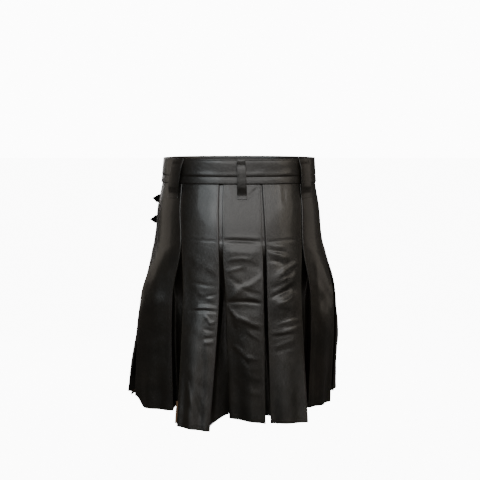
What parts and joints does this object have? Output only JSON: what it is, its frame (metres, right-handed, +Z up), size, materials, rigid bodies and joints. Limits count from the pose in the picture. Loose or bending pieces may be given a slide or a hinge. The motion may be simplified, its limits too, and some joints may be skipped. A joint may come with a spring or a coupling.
{
  "type": "leather kilt",
  "caption": "Knee-length black leather kilt with box pleats, a wrap-over front, buckled hip straps and a deep waistband with belt loops, in its worn hollow shape.",
  "frame": {"origin": "centre of the waist opening, level with the top edge of the waistband, where the wearer holds the kilt up", "axes": "+Z up the body, -Y the wrap-over front, +Y the pleated back, +X the wearer's left, where the straps buckle"},
  "size_m": [0.5208, 0.3944, 0.6235],
  "materials": {
    "leather": "soft semi-gloss grain outside, brown suede inside",
    "buckle_metal": "dark gunmetal"
  },
  "bodies": {
    "root": {"pleat_right_3": "leather", "pleat_right_2": "leather", "pleat_right_1": "leather", "pleat_centre": "leather", "pleat_left_1": "leather", "pleat_left_2": "leather", "pleat_left_3": "leather", "underlay_right_4": "leather", "underlay_right_3": "leather", "underlay_right_2": "leather", "underlay_right_1": "leather", "underlay_left_1": "leather", "underlay_left_2": "leather", "underlay_left_3": "leather", "apron_over": "leather", "apron_under": "leather", "waistband_back": "leather", "waistband_over": "leather", "waistband_under": "leather", "belt_loop_back": "leather", "belt_loop_left_back": "leather", "belt_loop_right_back": "leather", "hip_strap_upper": "leather", "hip_strap_lower": "leather", "buckle_tab_upper": "leather", "buckle_tab_lower": "leather", "buckle_frame_upper": "buckle_metal", "buckle_frame_lower": "buckle_metal", "buckle_prong_upper": "buckle_metal", "buckle_prong_lower": "buckle_metal"}
  },
  "joints": []
}
